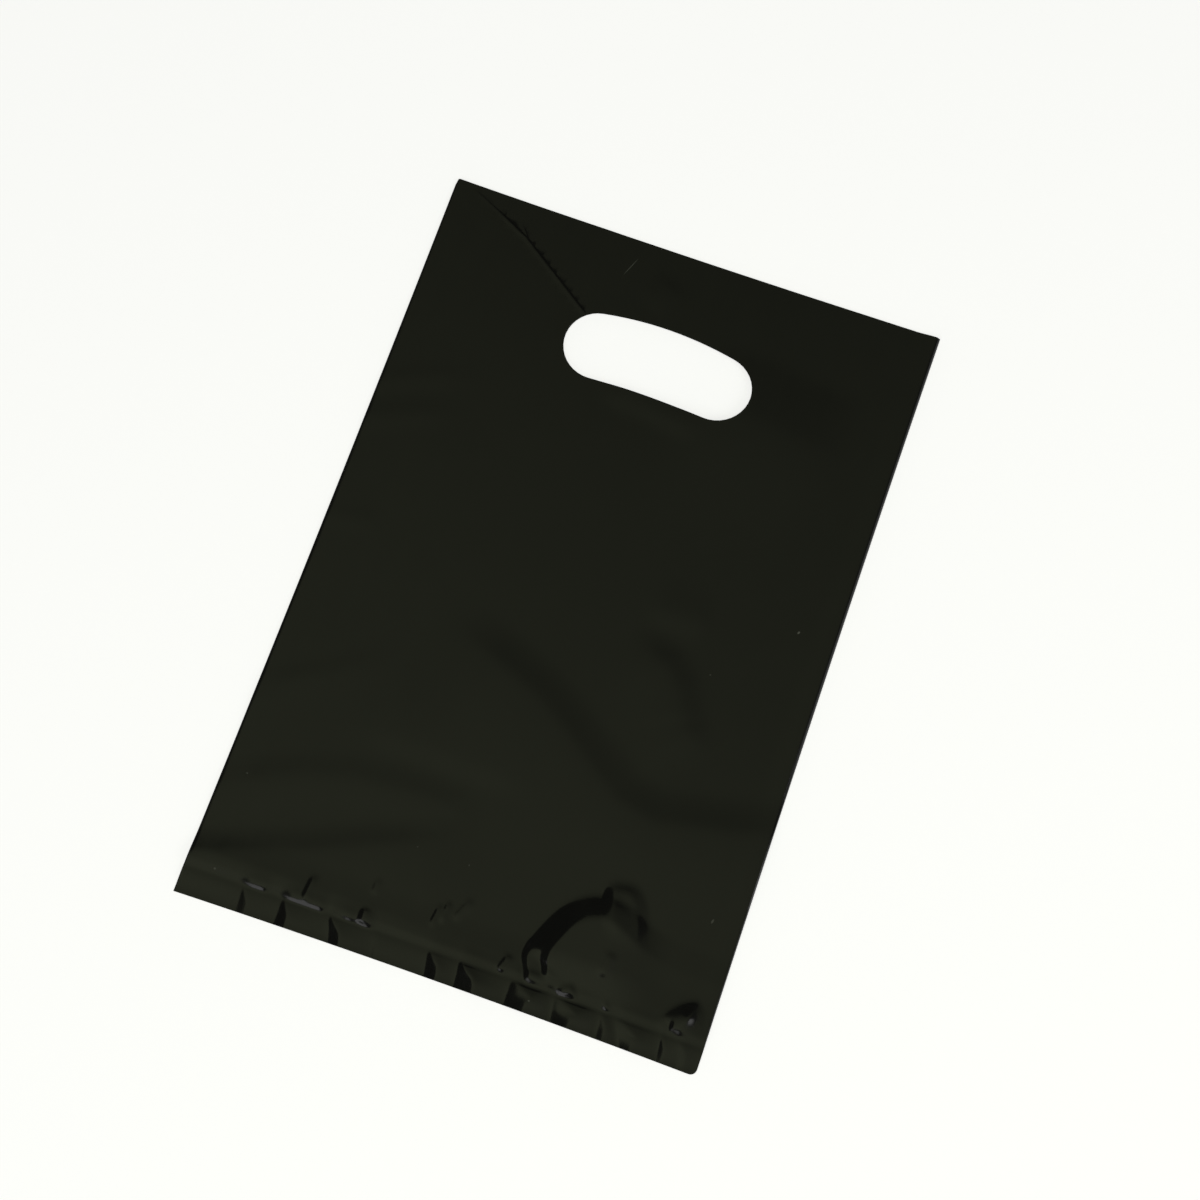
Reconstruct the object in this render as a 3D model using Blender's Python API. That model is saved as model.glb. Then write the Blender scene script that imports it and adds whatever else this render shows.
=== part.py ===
"""Plastic carrier bag with a punched handle, lying flat on its back wall.

The bag is one length of blown film tube, laid flat, so its two walls run into each other
round a fold down each side. A heat seal across the foot closes the tube, which runs on a
little way below the seal as a loose, puckered skirt. The head is the open mouth, and the
bean-shaped handle hole is punched through both walls.

Metres. +X runs across the bag, +Y from the foot to the mouth, +Z up through the front wall.
The origin is under the middle of the bag, on the plane that the back wall lies on.
"""

import math

import bmesh
import bpy
from mathutils import Vector

# The bag as it lies.
BAG_WIDTH = 0.2010          # across the corners
BAG_LENGTH = 0.3010         # foot to mouth, along the side folds
SIDE_WAIST = 0.0006         # how far each side is drawn in, half way up
END_WAIST = 0.0006          # how far the foot and the mouth are drawn in, half way across
FILM = 0.00006              # one wall of film

# The air between the walls.
FOLD_HEIGHT = 0.0008        # height of the bag at its side folds
CROWN = 0.0022              # how far the front wall stands above the folds in the middle

# The heat seal and the skirt below it.
SKIRT = 0.0093              # foot edge to the middle of the seal
SEAL_WIDTH = 0.0012
SEAL_RAMP = 0.030           # over which the pocket opens above the seal
SKIRT_RAMP = 0.0087         # over which the skirt opens below it
PUCKER = 0.0010             # height of the puckers at the foot edge
PUCKER_COUNT = 8
PUCKER_FADE = 0.035         # how far they run up the front wall above the seal

# The handle hole: two end circles, joined by an arched top edge and a slightly bowed lower edge.
HANDLE_CENTRE = (0.0, 0.1016)
HANDLE_END_RADIUS = 0.0138
HANDLE_END_OFFSET = 0.0245  # hole centre to the centre of each end circle
HANDLE_TOP = 0.0163         # hole centre to the top edge
HANDLE_BOTTOM = 0.01295     # hole centre to the lower edge
HANDLE_TILT = math.radians(-1.0)

# How finely each stretch is divided.
WALL_STEPS = 48             # across the front wall
BACK_STEPS = 12             # across the back wall
FOLD_STEPS = 4              # round each side fold
SKIRT_ROWS = 3
RAMP_ROWS = 4
POCKET_ROWS = 14
END_CIRCLE_STEPS = 14
ARC_STEPS = 10

PUNCH_OVERRUN = 0.005       # how far the punch runs past the film
BLACK_FILM = (0.011, 0.011, 0.009, 1.0)

FOOT = -BAG_LENGTH / 2
MOUTH = BAG_LENGTH / 2
SEAL_LOW = FOOT + SKIRT - SEAL_WIDTH / 2
SEAL_HIGH = FOOT + SKIRT + SEAL_WIDTH / 2
SEAL_BEAD = 0.001           # where the walls part, beyond each edge of the seal


def spread(start, end, count):
    """Evenly spaced stations from start to end, with the start left out."""
    return [start + (end - start) * i / count for i in range(1, count + 1)]


SKIRT_STATIONS = [FOOT] + spread(FOOT, SEAL_LOW - SEAL_BEAD, SKIRT_ROWS)
POCKET_STATIONS = (
    [SEAL_HIGH + SEAL_BEAD]
    + spread(SEAL_HIGH + SEAL_BEAD, SEAL_HIGH + SEAL_RAMP, RAMP_ROWS)
    + spread(SEAL_HIGH + SEAL_RAMP, MOUTH, POCKET_ROWS)
)
BAG_STATIONS = SKIRT_STATIONS + [SEAL_LOW, SEAL_HIGH] + POCKET_STATIONS

# One walk over the whole film, each row a station and its depth below the outer face: from the
# top of the skirt's gap down its inside, up the outside, and down the pocket's inside.
FILM_ROWS = (
    [(station, FILM) for station in reversed(SKIRT_STATIONS)]
    + [(station, 0.0) for station in BAG_STATIONS]
    + [(station, FILM) for station in reversed(POCKET_STATIONS)]
)
SECTION_STEPS = WALL_STEPS + FOLD_STEPS + BACK_STEPS + FOLD_STEPS


def opened(y):
    """How far the walls have parted at y: 0 along the seal, 1 where the tube is fully open."""
    if y < SEAL_LOW:
        share = (SEAL_LOW - y) / SKIRT_RAMP
    else:
        share = max(y - SEAL_HIGH, 0.0) / SEAL_RAMP
    return math.sin(math.pi / 2 * min(share, 1.0))


def fold_radius(y):
    """Outer radius of the side folds at y."""
    return FILM + (FOLD_HEIGHT / 2 - FILM) * opened(y)


def crown(across, y):
    """Height of the air cushion: across is -1 to 1 between the folds."""
    share = max(y - SEAL_HIGH, 0.0) / (MOUTH - SEAL_HIGH)
    return CROWN * (1 - across ** 2) * math.sin(math.pi * min(share, 1.0) ** 0.8)


def puckers(across, y):
    """Height of the puckers that the seal draws into the front wall."""
    wave = (1 + math.cos(math.pi * PUCKER_COUNT * across)) / 2
    fade = 1.0
    if y > SEAL_HIGH:
        fade = 0.5 * max(0.0, 1 - (y - SEAL_HIGH) / PUCKER_FADE)
    return PUCKER * wave * (1 - across ** 4) * opened(y) * fade


def section_point(step, station, inset):
    """Point number step round the laid-flat tube, inset from its outer face."""
    half_width = BAG_WIDTH / 2 - SIDE_WAIST * (1 - (station / MOUTH) ** 2)
    radius = fold_radius(station)
    wall = half_width - radius
    fold_start = WALL_STEPS
    back_start = fold_start + FOLD_STEPS
    return_start = back_start + BACK_STEPS

    if step <= fold_start:
        across = 1 - 2 * step / WALL_STEPS
        x = across * wall
        z = 2 * radius + crown(across, station) + puckers(across, station) - inset
    elif step < back_start:
        turn = math.pi / 2 + math.pi * (step - fold_start) / FOLD_STEPS
        x = -wall + (radius - inset) * math.cos(turn)
        z = radius + (radius - inset) * math.sin(turn)
    elif step <= return_start:
        x = wall * (2 * (step - back_start) / BACK_STEPS - 1)
        z = inset
    else:
        turn = -math.pi / 2 + math.pi * (step - return_start) / FOLD_STEPS
        x = wall + (radius - inset) * math.cos(turn)
        z = radius + (radius - inset) * math.sin(turn)

    drawn_in = END_WAIST * (1 - (x / half_width) ** 2) * (station / MOUTH)
    return Vector((x, station - drawn_in, z))


def split_walls(bm, place):
    """Splits each four-sided wall face on the same diagonal inside and outside the film.

    The film then keeps its thickness where the walls are twisted. The faces along a cut edge
    lie in one station, and stay whole.
    """
    for face in [face for face in bm.faces if len(face.verts) == 4]:
        corners = sorted(face.verts, key=lambda vert: place[vert][0])
        if place[corners[0]][0] == place[corners[3]][0]:
            continue
        low = corners[0]
        next_step = (place[low][1] + 1) % SECTION_STEPS
        if place[corners[1]][1] != next_step:
            low = corners[1]
            next_step = (place[low][1] + 1) % SECTION_STEPS
        high = next(vert for vert in corners[2:] if place[vert][1] == next_step)
        bmesh.utils.face_split(face, low, high)


def film_tube(name):
    """The whole film as one round tube, cut into rows, then laid flat and turned in at its ends."""
    step_angle = 2 * math.pi / SECTION_STEPS
    last_row = len(FILM_ROWS) - 1

    bm = bmesh.new()
    bmesh.ops.create_cone(
        bm, cap_ends=True, cap_tris=False, segments=SECTION_STEPS,
        radius1=1, radius2=1, depth=last_row,
    )
    bmesh.ops.translate(bm, verts=bm.verts, vec=(0, 0, last_row / 2))
    for row in range(1, last_row):
        bmesh.ops.bisect_plane(
            bm, geom=bm.verts[:] + bm.edges[:] + bm.faces[:], dist=1e-4,
            plane_co=(0, 0, row), plane_no=(0, 0, 1),
        )
    bm.verts.ensure_lookup_table()
    start_angle = math.atan2(bm.verts[0].co.y, bm.verts[0].co.x)
    place = {}
    for vert in bm.verts:
        angle = start_angle - math.atan2(vert.co.y, vert.co.x)
        step = round(angle / step_angle) % SECTION_STEPS
        station, inset = FILM_ROWS[round(vert.co.z)]
        place[vert] = (station, step)
        vert.co = section_point(step, station, inset)
    split_walls(bm, place)
    return new_object(name, bm)


def edge_arc(apex, side):
    """Points of the top (side 1) or lower (side -1) edge between the two end circles.

    The arc passes through the apex and is tangent to both circles, so its radius follows
    from them. It is negative where the edge bows in towards the hole's centre.
    """
    offset = HANDLE_END_OFFSET
    gap = apex - HANDLE_END_RADIUS
    radius = (offset ** 2 + apex ** 2 - HANDLE_END_RADIUS ** 2) / (2 * gap)
    centre_y = side * (apex - radius)
    reach = math.asin(offset / (radius - HANDLE_END_RADIUS))
    points = []
    for i in range(ARC_STEPS + 1):
        angle = reach * (1 - 2 * i / ARC_STEPS)
        x = side * radius * math.sin(angle)
        points.append((x, centre_y + side * radius * math.cos(angle)))
    return points, abs(reach) * math.copysign(1, gap)


def handle_outline():
    """The hole's outline about its own centre, anticlockwise."""
    top, top_reach = edge_arc(HANDLE_TOP, 1)
    bottom, bottom_reach = edge_arc(HANDLE_BOTTOM, -1)
    points = []
    for side, start_reach, end_reach, edge in (
        (1, bottom_reach, top_reach, top),
        (-1, top_reach, bottom_reach, bottom),
    ):
        start = -math.pi / 2 + start_reach
        end = math.pi / 2 - end_reach
        for i in range(1, END_CIRCLE_STEPS):
            angle = start + (end - start) * i / END_CIRCLE_STEPS
            x = side * (HANDLE_END_OFFSET + HANDLE_END_RADIUS * math.cos(angle))
            points.append((x, side * HANDLE_END_RADIUS * math.sin(angle)))
        points.extend(edge)
    return points


def handle_punch():
    """Cutter for the handle hole, tall enough to pass through both walls."""
    bm = bmesh.new()
    cos_tilt = math.cos(HANDLE_TILT)
    sin_tilt = math.sin(HANDLE_TILT)
    outline = []
    for x, y in handle_outline():
        outline.append(bm.verts.new((
            HANDLE_CENTRE[0] + x * cos_tilt - y * sin_tilt,
            HANDLE_CENTRE[1] + x * sin_tilt + y * cos_tilt,
            -PUNCH_OVERRUN,
        )))
    face = bm.faces.new(outline)
    height = FOLD_HEIGHT + CROWN + 2 * PUNCH_OVERRUN
    grown = bmesh.ops.extrude_face_region(bm, geom=[face])["geom"]
    top = [item for item in grown if isinstance(item, bmesh.types.BMVert)]
    bmesh.ops.translate(bm, verts=top, vec=(0, 0, height))
    bmesh.ops.recalc_face_normals(bm, faces=bm.faces)
    return new_object("handle_punch", bm)


def new_object(name, bm):
    mesh = bpy.data.meshes.new(name)
    bm.to_mesh(mesh)
    bm.free()
    obj = bpy.data.objects.new(name, mesh)
    bpy.context.scene.collection.objects.link(obj)
    return obj


def cut(body, cutter):
    """Takes the cutter out of the body, and hides the cutter."""
    boolean = body.modifiers.new(cutter.name, "BOOLEAN")
    boolean.operation = "DIFFERENCE"
    boolean.solver = "EXACT"
    boolean.object = cutter
    cutter.hide_render = True
    cutter.display_type = "WIRE"


def film_material():
    material = bpy.data.materials.new("black_film")
    material.use_nodes = True
    shader = material.node_tree.nodes["Principled BSDF"]
    shader.inputs["Base Color"].default_value = BLACK_FILM
    shader.inputs["Roughness"].default_value = 0.3
    shader.inputs["Metallic"].default_value = 0.0
    return material


def build_bag():
    bag = film_tube("bag")
    bag.data.materials.append(film_material())
    cut(bag, handle_punch())
    bag.data.shade_smooth()
    return bag


def main():
    for obj in list(bpy.data.objects):
        bpy.data.objects.remove(obj, do_unlink=True)
    build_bag()


main()
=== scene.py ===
"""Black film carrier bag with a punched handle, lying flat on a pale studio floor.

The bag is one tube of blown film: two walls joined by a fold down each side, welded together
by a heat seal near the foot, with a loose skirt below the seal and an open mouth at the head.
The tube is divided, laid flat and punched by operators. Then its walls are raised, point by
point, into the air cushions, pleats and creases that the seal and the packing left in them.
"""

import math

import bmesh
import bpy
import numpy as np
from mathutils import Matrix, Vector, noise


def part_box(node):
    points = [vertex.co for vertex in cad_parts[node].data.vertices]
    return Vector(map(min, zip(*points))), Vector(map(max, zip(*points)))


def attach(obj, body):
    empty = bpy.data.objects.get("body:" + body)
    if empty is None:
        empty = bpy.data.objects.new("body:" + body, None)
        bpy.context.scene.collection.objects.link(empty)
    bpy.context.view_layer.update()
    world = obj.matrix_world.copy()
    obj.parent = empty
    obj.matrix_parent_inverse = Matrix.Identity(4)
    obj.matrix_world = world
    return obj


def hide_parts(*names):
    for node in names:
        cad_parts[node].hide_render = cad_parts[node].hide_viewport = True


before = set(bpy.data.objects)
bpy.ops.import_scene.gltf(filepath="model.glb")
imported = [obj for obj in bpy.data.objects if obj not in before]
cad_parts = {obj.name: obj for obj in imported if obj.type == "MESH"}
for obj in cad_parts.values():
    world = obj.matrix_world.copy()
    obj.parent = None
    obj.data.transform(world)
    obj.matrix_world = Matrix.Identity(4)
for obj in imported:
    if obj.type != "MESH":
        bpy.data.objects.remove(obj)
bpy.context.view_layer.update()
LOW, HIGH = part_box("bag")

MM = 0.001

# The film tube, from the frame.
HALF_WIDTH = HIGH.x
FOOT = LOW.y
MOUTH = HIGH.y
FILM = 0.06 * MM
FOLD_RADIUS = 0.40 * MM         # of the tube round its side folds
SEAL = FOOT + 9.3 * MM          # the middle of the heat seal
SEAL_WIDTH = 1.1 * MM
SEAL_GAP = 1.15                 # how far apart the welded walls' faces are, in film thicknesses

# How the tube is divided before it is shaped.
FRONT_STEPS = 128
BACK_STEPS = 26
FOLD_STEPS = 6
ROWS = 180
ROW_EVENNESS = 0.30             # 1 for even rows; less draws them together at the foot
EDGE_CROWDING = 0.1             # draws the front's columns together beside the folds
SEAL_ZONE = FOOT + 34 * MM      # below this the front's columns are split further
CUSHION_ZONE = FOOT + 64 * MM   # and below this, on the cushion's side
CUSHION_SIDE = 20 * MM
ZONE_CUTS = 2
BACK_ZONE = FOOT + 19 * MM      # below this the back's columns are split too
BACK_CUTS = 4

# The handle hole: two end circles, joined by an arched top edge and a bowed lower edge.
HANDLE_CENTRE = Vector((-0.0002, 0.1016))
HANDLE_END_RADIUS = 13.8 * MM
HANDLE_END_OFFSET = 24.5 * MM
HANDLE_TOP = 16.3 * MM
HANDLE_BOTTOM = 12.95 * MM
HANDLE_TILT = math.radians(-1.0)
BACK_HOLE_SLIP = Vector((0.0002, 0.0006))   # the back wall has slid up under the front one


# ---------------------------------------------------------------- outline of the handle hole

def arc_between_ends(apex, side, steps=14):
    """The top (side 1) or lower (side -1) edge: an arc through the apex, tangent to both ends."""
    gap = apex - HANDLE_END_RADIUS
    radius = (HANDLE_END_OFFSET ** 2 + apex ** 2 - HANDLE_END_RADIUS ** 2) / (2 * gap)
    reach = math.asin(HANDLE_END_OFFSET / (radius - HANDLE_END_RADIUS))
    points = []
    for i in range(steps + 1):
        angle = reach * (1 - 2 * i / steps)
        points.append((side * radius * math.sin(angle),
                       side * (apex - radius + radius * math.cos(angle))))
    return points, abs(reach) * math.copysign(1, gap)


def handle_outline(centre, steps=18):
    """Points round the hole, anticlockwise, in the bag's frame."""
    top, top_reach = arc_between_ends(HANDLE_TOP, 1)
    bottom, bottom_reach = arc_between_ends(HANDLE_BOTTOM, -1)
    points = []
    for side, first, last, edge in ((1, bottom_reach, top_reach, top),
                                    (-1, top_reach, bottom_reach, bottom)):
        start = -math.pi / 2 + first
        end = math.pi / 2 - last
        for i in range(1, steps):
            angle = start + (end - start) * i / steps
            points.append((side * (HANDLE_END_OFFSET + HANDLE_END_RADIUS * math.cos(angle)),
                           side * HANDLE_END_RADIUS * math.sin(angle)))
        points.extend(edge)
    turn = Matrix.Rotation(HANDLE_TILT, 2)
    return [centre + turn @ Vector(point) for point in points]


# ---------------------------------------------------------------- the tube, cut and laid flat

def lay_flat(step):
    """Across-the-bag and height place of one step round the tube, folds included."""
    wall = HALF_WIDTH - FOLD_RADIUS
    if step <= FRONT_STEPS:
        share = 1 - 2 * step / FRONT_STEPS
        return wall * share * (1 + EDGE_CROWDING * (1 - share ** 8)), 2 * FOLD_RADIUS
    step -= FRONT_STEPS
    if step <= FOLD_STEPS:
        turn = math.pi * (0.5 + step / FOLD_STEPS)
        return -wall + FOLD_RADIUS * math.cos(turn), FOLD_RADIUS * (1 + math.sin(turn))
    step -= FOLD_STEPS
    if step <= BACK_STEPS:
        return wall * (2 * step / BACK_STEPS - 1), 0.0
    step -= BACK_STEPS
    turn = math.pi * (step / FOLD_STEPS - 0.5)
    return wall + FOLD_RADIUS * math.cos(turn), FOLD_RADIUS * (1 + math.sin(turn))


def row_place(row):
    share = row / ROWS
    return FOOT + (MOUTH - FOOT) * (ROW_EVENNESS * share + (1 - ROW_EVENNESS) * share ** 2)


def film_tube():
    """A round open tube, subdivided and laid flat."""
    steps_round = FRONT_STEPS + BACK_STEPS + 2 * FOLD_STEPS
    bm = bmesh.new()
    bmesh.ops.create_cone(bm, cap_ends=False, segments=steps_round, radius1=1, radius2=1, depth=2)
    sides = [edge for edge in bm.edges if abs(edge.verts[0].co.z - edge.verts[1].co.z) > 1]
    bmesh.ops.subdivide_edges(bm, edges=sides, cuts=ROWS - 1, use_grid_fill=True)
    bm.verts.ensure_lookup_table()
    start = math.atan2(bm.verts[0].co.y, bm.verts[0].co.x)
    for vert in bm.verts:
        turn = start - math.atan2(vert.co.y, vert.co.x)
        step = round(turn / (2 * math.pi) * steps_round) % steps_round
        row = round((vert.co.z + 1) / 2 * ROWS)
        x, z = lay_flat(step)
        vert.co = (x, row_place(row), z)
    return bm


def on_front(vert):
    return vert.co.z > 1.99 * FOLD_RADIUS


def on_back(vert):
    return vert.co.z < 0.01 * FOLD_RADIUS


def columns_between(bm, wall, in_zone):
    """The edges that run across one wall, between two of its columns, inside a zone."""
    across = []
    for edge in bm.edges:
        a, b = edge.verts
        if wall(a) and wall(b) and abs(a.co.y - b.co.y) < 0.01 * MM and in_zone(a.co, b.co):
            across.append(edge)
    return across


def refine_foot(bm):
    """Splits the columns where the seal pleats the film and the air cushions stand."""
    def near_pleats(a, b):
        return a.y < (CUSHION_ZONE if min(a.x, b.x) > CUSHION_SIDE else SEAL_ZONE)

    def near_seam(a, b):
        return a.y < BACK_ZONE

    front = columns_between(bm, on_front, near_pleats)
    bmesh.ops.subdivide_edges(bm, edges=front, cuts=ZONE_CUTS)
    back = columns_between(bm, on_back, near_seam)
    bmesh.ops.subdivide_edges(bm, edges=back, cuts=BACK_CUTS)


def score(bm, start, end, reach, wall):
    """Cuts an edge line into one wall from start to end."""
    start = Vector((start[0], start[1], 0))
    end = Vector((end[0], end[1], 0))
    along = (end - start).normalized()
    length = (end - start).length
    side = Vector((-along.y, along.x, 0))
    faces = []
    for face in bm.faces:
        away = face.calc_center_median() - start
        if abs(away.dot(side)) < reach and -reach < away.dot(along) < length + reach:
            if all(wall(vert) for vert in face.verts):
                faces.append(face)
    edges = {edge for face in faces for edge in face.edges}
    verts = {vert for face in faces for vert in face.verts}
    bmesh.ops.bisect_plane(bm, geom=list(verts) + list(edges) + faces, dist=0.02 * MM,
                           plane_co=start, plane_no=side)


def inside(outline, point):
    """Whether a point of the wall lies inside a closed outline."""
    crossings = 0
    for a, b in zip(outline, outline[1:] + outline[:1]):
        if (a.y > point.y) != (b.y > point.y):
            if point.x < a.x + (b.x - a.x) * (point.y - a.y) / (b.y - a.y):
                crossings += 1
    return crossings % 2 == 1


def punch_handle(bm, centre, wall):
    """Cuts the hole's outline into one wall and takes out what lies inside it."""
    outline = handle_outline(centre)
    for a, b in zip(outline, outline[1:] + outline[:1]):
        score(bm, a, b, 3.0 * MM if wall is on_front else 8.0 * MM, wall)
    gone = [face for face in bm.faces
            if all(wall(vert) for vert in face.verts) and inside(outline, face.calc_center_median())]
    bmesh.ops.delete(bm, geom=gone, context="FACES")


# ---------------------------------------------------------------- shapes of relief
# Everything from here to shape_film is in millimetres from the middle of the bag: x across it
# to the right, y up it towards the mouth. A path's right-hand side is the side that climbs.

def smooth(share):
    share = np.clip(share, 0.0, 1.0)
    return share * share * (3 - 2 * share)


def bell(distance):
    return np.exp(-distance * distance)


def rise(past, width, corner=0.6):
    """0 before a line and 1 from width past it, straight between, with rounded corners."""
    def bend(run):
        return (run + np.sqrt(run * run + corner * corner)) / 2
    return (bend(past) - bend(past - width)) / width


def through(points, steps=6):
    """A smooth curve through the points."""
    held = [points[0], *points, points[-1]]
    curve = []
    for before, a, b, after in zip(held, held[1:], held[2:], held[3:]):
        for i in range(steps):
            t = i / steps
            curve.append(tuple(
                (2 * q + (r - p) * t + (2 * p - 5 * q + 4 * r - s) * t ** 2
                 + (3 * q - p - 3 * r + s) * t ** 3) / 2
                for p, q, r, s in zip(before, a, b, after)))
    return curve + [tuple(points[-1])]


def follow(path, x, y):
    """For each point: how far it is to the right of the path, and how far from the path's ends."""
    best = np.full(x.shape, 1e9)
    right = np.zeros(x.shape)
    along = np.zeros(x.shape)
    lengths = [math.dist(a, b) for a, b in zip(path, path[1:])]
    done = 0.0
    for (ax, ay), (bx, by), length in zip(path, path[1:], lengths):
        ux, uy = (bx - ax) / length, (by - ay) / length
        t = np.clip((x - ax) * ux + (y - ay) * uy, 0, length)
        distance = np.hypot(x - ax - t * ux, y - ay - t * uy)
        nearer = distance < best
        side = np.where(uy * (x - ax) - ux * (y - ay) < 0, -1.0, 1.0)
        best = np.where(nearer, distance, best)
        right = np.where(nearer, side * distance, right)
        along = np.where(nearer, done + t, along)
        done += length
    return right, along, done - along


def ends(from_start, to_end, longest=18.0, share=0.3):
    """Fades out towards both ends of a path."""
    fade = np.minimum(longest, share * (from_start + to_end))
    return smooth(from_start / fade) * smooth(to_end / fade)


def ridge(x, y, path, width, height):
    """A soft ridge, or a groove where height is negative, along a path."""
    right, from_start, to_end = follow(path, x, y)
    return height * bell(right / width) * ends(from_start, to_end)


def flank(x, y, path, width, height, run, swell=1.0, corner=0.6, fade=18.0):
    """The wall climbs to the right of the path over width, then sinks away over run."""
    right, from_start, to_end = follow(path, x, y)
    climb = rise(right, width, corner) ** swell
    sink = bell(np.maximum(right - width, 0) / run)
    return height * climb * sink * ends(from_start, to_end, longest=fade)


# ---------------------------------------------------------------- the skirt below the seal

# A pleat climbs to its crest and sinks to the next pleat's foot. For each: where its foot and its
# crest leave the seal, where they meet the free edge, and how high the crest is there.
PLEATS = (
    (-77.0, -75.5, -77.0, -73.0, 0.60),
    (-61.5, -59.5, -62.0, -57.7, 1.20),
    (-43.4, -41.2, -41.0, -36.8, 1.30),
    (-26.2, -24.6, -24.8, -23.2, 0.40),
    (-5.2, -1.6, -4.2, 0.8, 1.60),
    (7.0, 9.4, 6.8, 15.0, 2.40),
    (26.3, 38.5, 26.0, 34.6, 2.60),
    (42.5, 56.0, 44.0, 51.8, 2.45),
    (61.0, 63.0, 61.3, 65.2, 1.25),
    (66.3, 77.3, 70.5, 75.8, 1.80),
    (84.3, 85.6, 84.5, 87.6, 1.00),
    (91.0, 94.2, 93.3, 95.5, 0.75),
)
LAST_PLEAT_END = 99.0
PLEAT_CORNER = 0.5
FULL_HEIGHT = 0.55              # the share of the way to the free edge at which pleats stand full


def pleats(x, share, corner=PLEAT_CORNER):
    """The pleats' profile at a share of the way from the seal to the free edge."""
    feet = [at_seal + (at_edge - at_seal) * share for at_seal, _, at_edge, _, _ in PLEATS]
    feet.append(np.full(x.shape, LAST_PLEAT_END))
    spread = 1 - (1 - share) ** 2
    filled = np.clip(0.2 + share / FULL_HEIGHT, 0, 1)
    height = np.zeros(x.shape)
    for (_, at_seal, _, at_edge, tall), foot, next_foot in zip(PLEATS, feet, feet[1:]):
        crest = at_seal + (at_edge - at_seal) * spread
        height += tall * (rise(x - foot, (crest - foot) * filled, corner)
                          - rise(x - crest, next_foot - crest, corner))
    return height


def skirt_relief(x, y):
    share = np.clip((SEAL - y * MM) / (SEAL - FOOT), 0, 1)
    climb = 1 - rise(FULL_HEIGHT - share, FULL_HEIGHT, 0.15)
    return pleats(x, share) * climb


# ---------------------------------------------------------------- the pocket above the seal

CROWN = 1.9                     # how far the air in the bag lifts the middle of the front wall
CROWN_SKEW = 0.8                # puts the highest place nearer the foot

# The air cushion in the lower right corner: its left and upper boundary, from the seal round.
CUSHION_EDGE = through((
    (34.0, -144.0), (30.3, -138.0), (27.2, -131.0), (27.8, -125.0), (30.2, -118.0), (34.5, -109.5),
    (40.0, -103.7), (46.0, -100.7), (52.0, -99.6), (58.0, -100.6), (64.0, -103.0), (72.0, -106.0),
    (84.0, -108.0), (104.0, -108.0)))
# The lens-shaped pillow against its upper side.
PILLOW_EDGE = through((
    (66.0, -122.0), (56.0, -117.0), (50.5, -110.0), (48.0, -102.0), (47.4, -97.5), (49.5, -94.6),
    (53.0, -93.2), (57.0, -92.8), (60.5, -94.0), (63.5, -96.8), (66.5, -102.0), (69.0, -110.0),
    (70.0, -122.0)))
# The dome in the very corner.
DOME_EDGE = through((
    (83.5, -142.5), (81.2, -137.5), (82.0, -133.8), (85.3, -129.2), (89.3, -126.2), (93.5, -125.0),
    (96.8, -128.2), (98.2, -134.0), (98.8, -142.0)))


def cushion(x, y):
    """A steep flank in three steps; towards the seal its middle step flattens to a bench."""
    right = follow(CUSHION_EDGE, x, y)[0]
    bench = 1 - smooth((y + 132.0) / 7.0)
    height = (0.85 * rise(right, 2.0) + 2.1 * (1 - bench) * rise(right - 2.0, 5.0)
              + (0.85 + 2.1 * bench) * rise(right - 7.0, 2.0))
    to_the_right = 0.12 + 0.88 * smooth((80.0 - x) / 24.0)
    to_the_seal = smooth((y - SEAL / MM) / 17.0)
    return height * to_the_right * to_the_seal


def pillow(x, y):
    right = follow(PILLOW_EDGE, x, y)[0]
    return 1.6 * rise(right, 4.6) * smooth((y + 118.0) / 18.0)


def dome(x, y):
    right = follow(DOME_EDGE, x, y)[0]
    shelf = smooth((-134.5 - y) / 3.0) * smooth((87.5 - x) / 2.0)
    height = 0.6 * rise(right, 1.5) + 2.6 * (1 - shelf) * rise(right - 1.5, 6.5)
    return height * (1 - 0.35 * smooth((x - 91.0) / 6.0)) * smooth((y - SEAL / MM) / 9.5)


# Flanks of the pocket's wall: path, width, height, run, and how far the climb is kept for its end.
WAVES = (
    (((-40, -8), (-16, -17), (6, -26), (21, -35), (36, -45.5), (46, -52.5), (57, -55), (84, -49),
      (116, -38)), 13.0, 1.75, 34.0, 1.45),
    (((26, 4), (47, -3), (56, -12), (63, -25), (74, -33)), 8.5, 1.25, 20.0, 1.2),
    (((56, 4), (42, 2), (26, 2)), 6.0, 0.50, 10.0, 1.0),
    (((-118, -82), (-93, -60), (-76, -48), (-56, -33)), 5.0, 0.30, 8.0, 1.2),
    (((14, -78), (-30, -77), (-62, -78)), 7.0, 0.55, 24.0, 1.0),
    (((-118, -108), (-90, -93.5), (-72, -85.5), (-55, -81), (-30, -79), (-12, -79), (6, -90)),
     8.0, 0.70, 12.0, 1.3),
    (((-122, -134), (-83, -119), (-63, -112), (-43, -103), (-28, -97), (-4, -84)),
     9.0, 1.35, 28.0, 1.5),
    (((12, 122), (88, 114)), 25.0, 1.30, 34.0, 1.0),
    (((28, 75.5), (0, 79.8), (-22, 81)), 4.2, 0.62, 16.0, 1.0),
    (((-36, -131), (-8, -133.5), (20, -133)), 5.0, 0.25, 8.0, 1.2),
)
# Soft ridges and grooves: path, width, height.
RIPPLES = (
    (((-120, 52), (-64, 75)), 4.0, 0.20),
    (((-120, 36), (-64, 59)), 4.5, 0.22),
    (((-114, 1), (-76, 6)), 4.0, 0.18),
    (((-120, -78), (-76, -53)), 4.0, 0.16),
    (((-12, 124), (-4, 138)), 6.0, 0.20),
)
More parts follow.
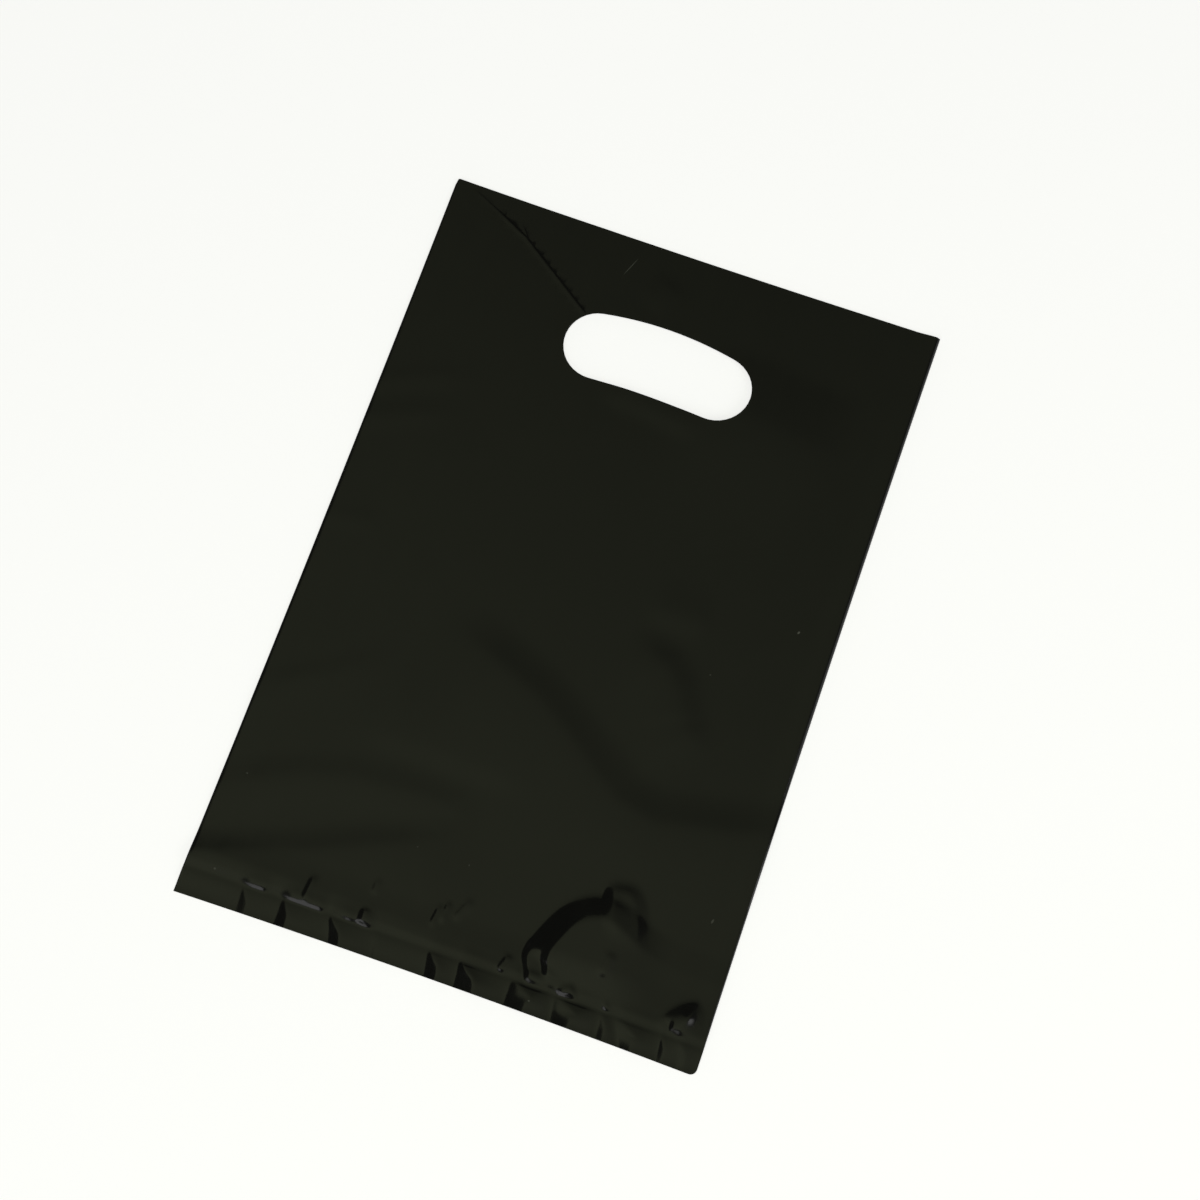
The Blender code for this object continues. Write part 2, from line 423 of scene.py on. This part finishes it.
# Short pinches that the seal draws in the film above it: path of the crest, width, height.
PINCHES = (
    (((-54.3, -139.8), (-53.2, -127.6)), 1.4, 0.52),
    (((-31.9, -140.8), (-31.6, -133.2)), 1.9, 0.66),
    (((-31.2, -128.5), (-30.8, -121.8)), 1.5, 0.34),
    (((-7.6, -133.0), (-6.4, -122.6)), 1.2, 0.45),
    (((-4.9, -130.4), (-3.6, -120.8)), 1.3, 0.60),
    (((-0.9, -127.8), (4.2, -117.2)), 1.5, 0.50),
    (((20.9, -140.4), (23.8, -131.8)), 1.6, 0.62),
    (((56.9, -129.8), (58.3, -118.6)), 2.2, 0.62),
)
# Folds and hooks beside the cushion: path of the foot, width, height, run.
NICKS = (
    (((41.4, -139.2), (44.4, -136.2), (48.6, -133.4)), 2.8, 0.90, 4.0),
    (((59.4, -138.8), (61.6, -136.4), (65.2, -138.2)), 1.4, 0.50, 2.5),
    (((32.4, -142.5), (29.4, -136.0), (27.0, -131.0), (27.4, -122.0)), 1.9, 0.60, 6.0),
    (((30.0, -134.6), (35.4, -134.6), (36.4, -131.0)), 1.7, 0.45, 5.0),
)
# Where the film is drawn up steeply against the seal, from and to.
DRAWN_UP = ((-81.0, -66.5, 0.75), (-65.0, -44.5, 0.95), (-44.5, -33.0, 0.80), (-37.5, -26.0, 0.90))


def drawn_up(x, y):
    above = y - (SEAL + SEAL_WIDTH / 2) / MM
    height = np.zeros(x.shape)
    for start, end, tall in DRAWN_UP:
        along = smooth((x - start) / 9.0) * smooth((end - x) / 4.0)
        height += tall * along * rise(above, 1.5, 0.3) * bell(above / 5.0)
    return height


def pocket_relief(x, y):
    above = y - SEAL / MM
    share = np.clip(above / (MOUTH / MM - SEAL / MM), 0, 1)
    height = CROWN * (1 - (x * MM / HALF_WIDTH) ** 2) * np.sin(math.pi * share ** CROWN_SKEW)
    for path, width, tall, run, swell in WAVES:
        height = height + flank(x, y, path, width, tall, run, swell, corner=2.0, fade=35.0)
    for path, width, tall in RIPPLES:
        height = height + ridge(x, y, path, width, tall)
    height = height * smooth(above / 9.0) + cushion(x, y) + dome(x, y) + pillow(x, y)
    pinched = np.zeros(x.shape)
    for path, width, tall in PINCHES:
        pinched += ridge(x, y, path, width, tall)
    for path, width, tall, run in NICKS:
        pinched += flank(x, y, path, width, tall, run, corner=0.4)
    return height + pinched * smooth(above / 3.0) + drawn_up(x, y)


# ---------------------------------------------------------------- creases, folds and corners

# A sharp crease: its path, and the widths and height of its upper and lower face.
CREASES = (
    (((-92.0, 148.0), (-78.6, 141.9)), 0.6, 1.2, 0.05),
    (((-79.8, 142.5), (-66.4, 135.8), (-33.0, 112.6)), 0.75, 1.6, 0.18),
    (((-69.0, 140.0), (-65.2, 135.2)), 0.6, 1.2, 0.12),
)

RIGHT_LIP = 0.90                # how far the springy side folds stand above the wall beside them
LEFT_LIP = 0.10
LIP_CREST = 1.5                 # from the fold to the lip's crest
LIP_RUN = 8.5                   # from the crest to where the lip has died away


def crease(x, y, path, upper, lower, height):
    right, from_start, to_end = follow(path, x, y)
    face = np.where(right > 0, 1 - right / lower, 1 + right / upper)
    return height * np.clip(face, 0, 1) * ends(from_start, to_end, longest=2.5)


def fold_lip(x, y):
    """The film springs up along its side folds, and rolls over into them."""
    aside = HALF_WIDTH / MM - np.abs(x)
    profile = smooth(aside / LIP_CREST) * (1 - smooth((aside - LIP_CREST) / LIP_RUN))
    up_the_bag = 0.35 + 0.65 * smooth((y + 70) / 50)
    below_seal = smooth((y - SEAL / MM) / 12)
    return profile * np.where(x > 0, RIGHT_LIP * up_the_bag, LEFT_LIP) * below_seal


SEAM_LIFT = 1.1                 # how far the stiff seam holds both walls off the floor
SEAM_WAVE = 0.30                # how far it waves with the skirt's pleats, as a share of them
SEAM_BUMP = (91.0, 6.0, 0.9)    # place, width and height of its lift beside the dome
FOOT_OPENING = 0.3              # how open the skirt's folds are at the free edge


def seal_share(y):
    """How far apart the walls are beside the seal: 0 along it, 1 where they are free of it."""
    above = (y - (SEAL + SEAL_WIDTH / 2) / MM) / 4.0
    below = ((SEAL - SEAL_WIDTH / 2) / MM - y) / 8.5
    return np.where(above > 0, smooth(above), FOOT_OPENING * smooth(below))


def seam_lift(x, y):
    """Both walls rise to the seam, and lie down again towards the foot and up the pocket."""
    above = y - SEAL / MM
    place, width, tall = SEAM_BUMP
    wave = SEAM_WAVE * pleats(x, np.zeros(x.shape), corner=2.0) + tall * bell((x - place) / width)
    return (SEAM_LIFT * (1 - smooth(np.maximum(above / 18.0, -above / 9.0)))
            + wave * (1 - smooth(np.maximum(above / 8.0, -above / 9.0))))


def flutter(x, y):
    """Slight waviness of a thin film that has been folded and shaken out."""
    height = [0.16 * noise.noise((px / 34, py / 46, 1.7)) + 0.05 * noise.noise((px / 11, py / 17, 6.1))
              for px, py in zip(x, y)]
    return np.array(height)


def front_relief(x, y):
    """How far the front wall, and the side folds with it, stand higher than laid flat."""
    height = np.where(y < SEAL / MM, skirt_relief(x, y), pocket_relief(x, y))
    for path, upper, lower, tall in CREASES:
        height = height + crease(x, y, path, upper, lower, tall)
    return height + fold_lip(x, y) + flutter(x, y) * smooth(np.abs(y - SEAL / MM) / 8.0)


def round_corner(x, y, side, end, radius):
    """Rounds one corner of the outline, for the walls and the fold alike."""
    across = np.clip(1 - (HALF_WIDTH / MM - side * x) / radius, 0, None)
    along = np.clip(1 - (MOUTH / MM - end * y) / radius, 0, None)
    shorter_across = across * (1 - np.sqrt(np.clip(1 - along ** 2 / 2, 0, 1)))
    shorter_along = along * (1 - np.sqrt(np.clip(1 - across ** 2 / 2, 0, 1)))
    return x - side * shorter_across * radius, y - end * shorter_along * radius


SIDE_WAIST = 0.6
HEAD_WAIST = 0.7
FOOT_WAIST = 1.1


def shape_film(bm):
    verts = list(bm.verts)
    place = np.array([vert.co[:] for vert in verts]) / MM
    x, y, z = place.T
    radius = FOLD_RADIUS / MM
    closed = SEAL_GAP * FILM / FOLD_RADIUS
    rising = z > 0
    lift = z[rising] / (2 * radius) * front_relief(x[rising], y[rising])
    z = z * (closed + (1 - closed) * seal_share(y))
    z[rising] += lift
    z += seam_lift(x, y)

    x, y = round_corner(x, y, 1, -1, 2.6)
    x, y = round_corner(x, y, -1, 1, 1.2)
    # the air in the bag draws its sides and ends in a little
    up = y / (MOUTH / MM)
    across = x / (HALF_WIDTH / MM)
    x = x - np.sign(x) * SIDE_WAIST * np.abs(across) ** 3 * (1 - up ** 2)
    y = y - np.where(up > 0, HEAD_WAIST, FOOT_WAIST) * (1 - across ** 2) * up ** 5

    for vert, position in zip(verts, np.stack((x, y, z), 1) * MM):
        vert.co = position


def score_creases(bm):
    """Gives every sharp crease its own edges: its crest and the feet of its two faces."""
    for path, upper, lower, _ in CREASES:
        for a, b in zip(path, path[1:]):
            a, b = Vector(a) * MM, Vector(b) * MM
            right = Vector((b.y - a.y, a.x - b.x)).normalized()
            for offset in (-upper, -upper / 2, 0.0, lower / 2, lower):
                shift = right * offset * MM
                score(bm, a + shift, b + shift, 2.4 * MM, on_front)


def carrier_bag():
    bm = film_tube()
    refine_foot(bm)
    score_creases(bm)
    punch_handle(bm, HANDLE_CENTRE, on_front)
    punch_handle(bm, HANDLE_CENTRE + BACK_HOLE_SLIP, on_back)
    shape_film(bm)
    bmesh.ops.recalc_face_normals(bm, faces=bm.faces)
    bmesh.ops.solidify(bm, geom=list(bm.faces), thickness=FILM)
    mesh = bpy.data.meshes.new("carrier_bag")
    bm.to_mesh(mesh)
    bm.free()
    mesh.shade_smooth()
    mesh.set_sharp_from_angle(angle=math.radians(65))
    bag = bpy.data.objects.new("carrier_bag", mesh)
    bpy.context.scene.collection.objects.link(bag)
    return bag


# ---------------------------------------------------------------- materials

# Dust and scuffs on the front: place, half length and half width, turn in degrees, strength.
MARKS = (
    ((-23.5, 138.0), 5.2, 0.22, 68.5, 0.55),
    ((84.8, 18.6), 0.75, 0.45, 60.0, 1.0),
    ((58.5, -8.3), 0.45, 0.30, 20.0, 0.4),
    ((-91.0, -101.0), 0.50, 0.35, 0.0, 0.5),
    ((-22.0, -106.0), 0.40, 0.30, 30.0, 0.3),
    ((-2.0, -106.0), 0.45, 0.30, 110.0, 0.35),
    ((88.7, -95.7), 1.10, 0.50, 75.0, 0.45),
    ((-89.0, -138.0), 0.60, 0.45, 10.0, 0.4),
    ((35.2, -145.2), 0.50, 0.40, 0.0, 0.5),
)


def marks(nodes, links, place):
    """One value for all the marks: each is a small ellipse, fading at its rim."""
    total = None
    for (x, y), length, width, turn, strength in MARKS:
        ellipse = nodes.new("ShaderNodeMapping")
        ellipse.vector_type = "TEXTURE"
        ellipse.inputs["Location"].default_value = (x * MM, y * MM, 0)
        ellipse.inputs["Rotation"].default_value = (0, 0, math.radians(turn))
        ellipse.inputs["Scale"].default_value = (length * MM, width * MM, 1)
        size = nodes.new("ShaderNodeVectorMath")
        size.operation = "LENGTH"
        fade = nodes.new("ShaderNodeMapRange")
        fade.inputs["From Min"].default_value = 0.5
        fade.inputs["From Max"].default_value = 1.0
        fade.inputs["To Min"].default_value = strength
        fade.inputs["To Max"].default_value = 0.0
        links.new(place, ellipse.inputs["Vector"])
        links.new(ellipse.outputs["Vector"], size.inputs[0])
        links.new(size.outputs["Value"], fade.inputs["Value"])
        if total is None:
            total = fade.outputs["Result"]
            continue
        both = nodes.new("ShaderNodeMath")
        both.operation = "MAXIMUM"
        links.new(total, both.inputs[0])
        links.new(fade.outputs["Result"], both.inputs[1])
        total = both.outputs["Value"]
    return total


def noise_field(nodes, links, place, scale, detail):
    stretch = nodes.new("ShaderNodeMapping")
    stretch.inputs["Scale"].default_value = scale
    field = nodes.new("ShaderNodeTexNoise")
    field.inputs["Scale"].default_value = 1.0
    field.inputs["Detail"].default_value = detail
    links.new(place, stretch.inputs["Vector"])
    links.new(stretch.outputs["Vector"], field.inputs["Vector"])
    return field.outputs["Fac"]


def black_film():
    """Glossy black film: faint draw lines along the tube, a fine grain, and a little dust."""
    material = bpy.data.materials.new("black_film")
    material.use_nodes = True
    nodes = material.node_tree.nodes
    links = material.node_tree.links
    shader = nodes["Principled BSDF"]
    shader.inputs["IOR"].default_value = 1.5
    place = nodes.new("ShaderNodeTexCoord").outputs["Object"]

    gloss = nodes.new("ShaderNodeMapRange")
    gloss.inputs["From Min"].default_value = 0.3
    gloss.inputs["From Max"].default_value = 0.7
    gloss.inputs["To Min"].default_value = 0.13
    gloss.inputs["To Max"].default_value = 0.19
    links.new(noise_field(nodes, links, place, (160, 9, 160), 3), gloss.inputs["Value"])
    links.new(gloss.outputs["Result"], shader.inputs["Roughness"])

    grain = nodes.new("ShaderNodeBump")
    grain.inputs["Strength"].default_value = 0.05
    grain.inputs["Distance"].default_value = 0.1 * MM
    links.new(noise_field(nodes, links, place, (900, 420, 900), 2), grain.inputs["Height"])
    links.new(grain.outputs["Normal"], shader.inputs["Normal"])

    dusty = nodes.new("ShaderNodeMix")
    dusty.data_type = "RGBA"
    dusty.inputs["A"].default_value = (0.0133, 0.0133, 0.0130, 1)
    dusty.inputs["B"].default_value = (0.20, 0.20, 0.19, 1)
    links.new(marks(nodes, links, place), dusty.inputs["Factor"])
    links.new(dusty.outputs["Result"], shader.inputs["Base Color"])
    return material


def floor_material():
    material = bpy.data.materials.new("pale_floor")
    material.use_nodes = True
    shader = material.node_tree.nodes["Principled BSDF"]
    shader.inputs["Base Color"].default_value = (0.82, 0.82, 0.82, 1)
    shader.inputs["Roughness"].default_value = 0.9
    shader.inputs["Emission Color"].default_value = (1, 1, 1, 1)
    shader.inputs["Emission Strength"].default_value = 0.76
    return material


# ---------------------------------------------------------------- studio

BOX_LOW = (-0.48, -0.85)
BOX_HIGH = (0.95, 0.70)
BOX_HEIGHT = 0.95
BOX_RADIANCE = 0.300
BOX_FALL = 0.83                 # share of its radiance lost in each metre away from the camera
BOX_SIDE_FALL = 0.25            # and in each metre to the right
BOX_BRIGHTEST = -0.5            # it grows no brighter nearer to the camera than this
BOX_COLOUR = (0.92, 1.0, 0.63, 1)


def studio_floor():
    bm = bmesh.new()
    bmesh.ops.create_grid(bm, x_segments=1, y_segments=1, size=6)
    mesh = bpy.data.meshes.new("studio_floor")
    bm.to_mesh(mesh)
    bm.free()
    floor = bpy.data.objects.new("studio_floor", mesh)
    bpy.context.scene.collection.objects.link(floor)
    mesh.materials.append(floor_material())
    floor.location.z = LOW.z
    return floor


def soft_box_material():
    """Light that falls off smoothly towards the far side and the right side of the box."""
    material = bpy.data.materials.new("soft_box")
    material.use_nodes = True
    nodes = material.node_tree.nodes
    links = material.node_tree.links
    nodes.clear()
    place = nodes.new("ShaderNodeTexCoord")
    split = nodes.new("ShaderNodeSeparateXYZ")
    links.new(place.outputs["Object"], split.inputs["Vector"])
    falls = []
    for axis, start, fall, full in (("X", BOX_LOW[0], BOX_SIDE_FALL, BOX_RADIANCE),
                                    ("Y", BOX_BRIGHTEST, BOX_FALL, 1.0)):
        dim = nodes.new("ShaderNodeMapRange")
        dim.inputs["From Min"].default_value = start
        dim.inputs["From Max"].default_value = start + 1.5
        dim.inputs["To Min"].default_value = full * (1 - fall * start)
        dim.inputs["To Max"].default_value = full * (1 - fall * (start + 1.5))
        links.new(split.outputs[axis], dim.inputs["Value"])
        falls.append(dim.outputs["Result"])
    both = nodes.new("ShaderNodeMath")
    both.operation = "MULTIPLY"
    links.new(falls[0], both.inputs[0])
    links.new(falls[1], both.inputs[1])
    glow = nodes.new("ShaderNodeEmission")
    glow.inputs["Color"].default_value = BOX_COLOUR
    links.new(both.outputs["Value"], glow.inputs["Strength"])
    output = nodes.new("ShaderNodeOutputMaterial")
    links.new(glow.outputs["Emission"], output.inputs["Surface"])
    return material


def soft_box():
    """A wide soft box hung level over the bag."""
    bm = bmesh.new()
    bmesh.ops.create_grid(bm, x_segments=1, y_segments=1, size=0.5)
    size = (BOX_HIGH[0] - BOX_LOW[0], BOX_HIGH[1] - BOX_LOW[1], 1)
    bmesh.ops.scale(bm, vec=size, verts=bm.verts)
    middle = ((BOX_LOW[0] + BOX_HIGH[0]) / 2, (BOX_LOW[1] + BOX_HIGH[1]) / 2, 0)
    bmesh.ops.translate(bm, vec=middle, verts=bm.verts)
    mesh = bpy.data.meshes.new("soft_box")
    bm.to_mesh(mesh)
    bm.free()
    mesh.materials.append(soft_box_material())
    box = bpy.data.objects.new("soft_box", mesh)
    box.location.z = BOX_HEIGHT
    box.visible_camera = False
    box.visible_shadow = False
    bpy.context.scene.collection.objects.link(box)
    return box


def key_light(name, location, size, radiance):
    light = bpy.data.lights.new(name, "AREA")
    light.shape = "RECTANGLE"
    light.size, light.size_y = size
    light.energy = radiance * math.pi * light.size * light.size_y
    obj = bpy.data.objects.new(name, light)
    obj.location = location
    obj.rotation_euler = (-Vector(location)).to_track_quat("-Z", "Y").to_euler()
    obj.visible_camera = False
    bpy.context.scene.collection.objects.link(obj)
    return obj


def studio_light():
    soft_box()
    key_light("front_key", (-0.45, -1.25, 0.85), (1.0, 0.6), 1.2)
    key_light("right_key", (1.6, -0.3, 0.9), (1.2, 0.8), 1.5)
    key_light("far_key", (-1.15, 1.15, 0.55), (1.6, 0.5), 0.35)

    world = bpy.data.worlds.new("studio")
    world.use_nodes = True
    bpy.context.scene.world = world
    nodes = world.node_tree.nodes
    links = world.node_tree.links
    direction = nodes.new("ShaderNodeTexCoord")
    split = nodes.new("ShaderNodeSeparateXYZ")
    fade = nodes.new("ShaderNodeMapRange")
    fade.interpolation_type = "SMOOTHSTEP"
    fade.inputs["From Min"].default_value = 0.10
    fade.inputs["From Max"].default_value = 0.32
    fade.inputs["To Min"].default_value = 0.62
    fade.inputs["To Max"].default_value = 0.012
    background = nodes["Background"]
    background.inputs["Color"].default_value = (1, 1, 1, 1)
    links.new(direction.outputs["Generated"], split.inputs["Vector"])
    links.new(split.outputs["Z"], fade.inputs["Value"])
    links.new(fade.outputs["Result"], background.inputs["Strength"])


CAMERA_TARGET = Vector((0.0098, 0.0058, 0.0))
CAMERA_AZIMUTH = math.radians(13.41)
CAMERA_ELEVATION = math.radians(74.55)
CAMERA_ROLL = math.radians(6.05)
CAMERA_DISTANCE = 0.9088
CAMERA_LENS = 72


def studio_camera():
    data = bpy.data.cameras.new("studio_camera")
    data.lens = CAMERA_LENS
    data.sensor_width = 36
    camera = bpy.data.objects.new("studio_camera", data)
    flat = math.cos(CAMERA_ELEVATION)
    away = Vector((math.sin(CAMERA_AZIMUTH) * flat, -math.cos(CAMERA_AZIMUTH) * flat,
                   math.sin(CAMERA_ELEVATION)))
    camera.location = CAMERA_TARGET + away * CAMERA_DISTANCE
    turn = (-away).to_track_quat("-Z", "Y").to_matrix() @ Matrix.Rotation(CAMERA_ROLL, 3, "Z")
    camera.rotation_euler = turn.to_euler()
    bpy.context.scene.collection.objects.link(camera)
    bpy.context.scene.camera = camera


bag = carrier_bag()
bag.data.materials.append(black_film())
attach(bag, "root")
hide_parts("bag")

floor = studio_floor()
studio_light()
studio_camera()
bpy.context.scene.view_settings.view_transform = "Standard"
